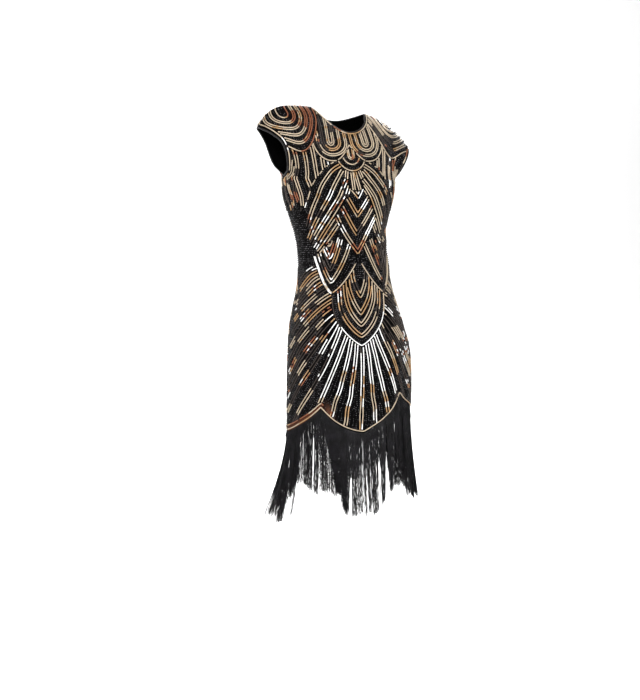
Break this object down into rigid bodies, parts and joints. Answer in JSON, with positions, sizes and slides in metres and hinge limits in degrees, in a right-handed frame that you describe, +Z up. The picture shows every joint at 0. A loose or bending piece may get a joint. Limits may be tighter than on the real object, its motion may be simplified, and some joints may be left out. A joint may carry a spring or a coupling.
{
  "type": "flapper dress",
  "caption": "Knee-length fitted dress with cap sleeves, scooped neck, pointed scalloped hem, long fringe and a centre-back zip, in its worn form, empty.",
  "frame": {"origin": "midway between the two neck points of the shoulder seams, where the wearer's shoulders hold the dress", "axes": "+Z up, -Y out of the front, +X towards the right of someone who looks at the front"},
  "size_m": [0.4304, 0.2674, 1.0787],
  "materials": {
    "beaded_mesh": "black mesh with bugle and seed beads",
    "black_binding": "matt woven",
    "black_fringe": "soft satin thread",
    "black_metal": "satin enamel"
  },
  "bodies": {
    "root": {"front_panel": "beaded_mesh", "back_left": "beaded_mesh", "back_right": "beaded_mesh", "neck_binding": "black_binding", "armhole_binding_left": "black_binding", "armhole_binding_right": "black_binding", "fringe_front": "black_fringe", "fringe_back_left": "black_fringe", "fringe_back_right": "black_fringe", "zip_slider": "black_metal"},
    "zip_pull": {"zip_pull_tab": "black_metal"}
  },
  "joints": [
    {"name": "zip_pull_hinge", "type": "hinge", "parent": "root", "child": "zip_pull", "pos_m": [-0.00771, 0.07358, -0.05043], "axis": [0.9912, 0.1282, -0.0319], "range_deg": [0, 150]}
  ]
}
